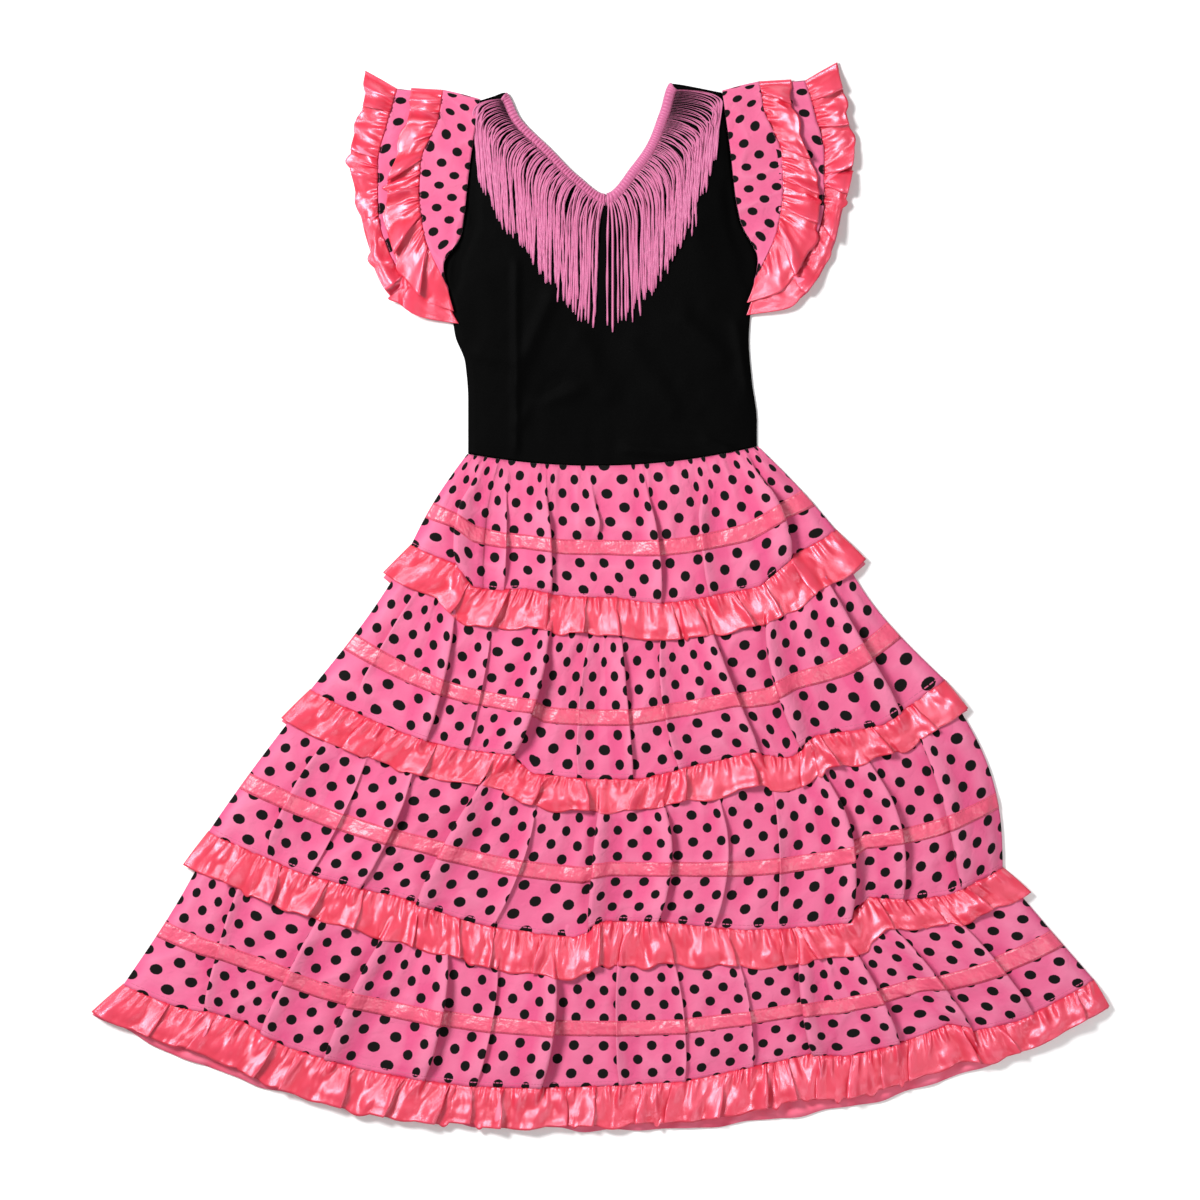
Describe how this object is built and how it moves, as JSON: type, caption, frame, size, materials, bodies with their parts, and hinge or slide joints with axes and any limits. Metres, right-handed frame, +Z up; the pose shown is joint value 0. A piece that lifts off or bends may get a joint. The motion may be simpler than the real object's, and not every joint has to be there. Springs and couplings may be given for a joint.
{
  "type": "flamenco dress",
  "caption": "Child's flamenco dress laid flat, front up: V-neck bodice with neck fringe, short flounced sleeves and a long tiered skirt with gathered ruffles.",
  "frame": {"origin": "on the surface that the dress lies on, under the middle of its outline", "axes": "+X across the dress towards the right of the picture, +Y from hem to neck, +Z up out of the front"},
  "size_m": [0.794, 0.8327, 0.014],
  "materials": {
    "black_jersey": "matt black knit jersey",
    "dotted_cotton": "pink plain-weave cotton with near-black dots",
    "coral_satin": "coral pink satin, bright face and matt back",
    "satin_ribbon": "coral pink satin ribbon, stitched along both edges",
    "fringe_yarn": "pink twisted rayon cord and braid"
  },
  "bodies": {
    "root": {"bodice_front": "black_jersey", "bodice_back": "black_jersey", "neck_fringe_left": "fringe_yarn", "neck_fringe_right": "fringe_yarn", "sleeve_left_upper_tier": "dotted_cotton", "sleeve_left_upper_ruffle": "coral_satin", "sleeve_left_lower_tier": "dotted_cotton", "sleeve_left_lower_ruffle": "coral_satin", "sleeve_right_upper_tier": "dotted_cotton", "sleeve_right_upper_ruffle": "coral_satin", "sleeve_right_lower_tier": "dotted_cotton", "sleeve_right_lower_ruffle": "coral_satin", "skirt_tier_1_front": "dotted_cotton", "skirt_tier_1_back": "dotted_cotton", "skirt_tier_2_front": "dotted_cotton", "skirt_tier_2_back": "dotted_cotton", "skirt_tier_3_front": "dotted_cotton", "skirt_tier_3_back": "dotted_cotton", "skirt_tier_4_front": "dotted_cotton", "skirt_tier_4_back": "dotted_cotton", "skirt_ruffle_1_front": "coral_satin", "skirt_ruffle_1_back": "coral_satin", "skirt_ruffle_2_front": "coral_satin", "skirt_ruffle_2_back": "coral_satin", "skirt_ruffle_3_front": "coral_satin", "skirt_ruffle_3_back": "coral_satin", "skirt_ruffle_4_front": "coral_satin", "skirt_ruffle_4_back": "coral_satin", "skirt_ribbon_1_front": "satin_ribbon", "skirt_ribbon_1_back": "satin_ribbon", "skirt_ribbon_2_front": "satin_ribbon", "skirt_ribbon_2_back": "satin_ribbon", "skirt_ribbon_3_front": "satin_ribbon", "skirt_ribbon_3_back": "satin_ribbon", "skirt_ribbon_4_front": "satin_ribbon", "skirt_ribbon_4_back": "satin_ribbon"}
  },
  "joints": []
}
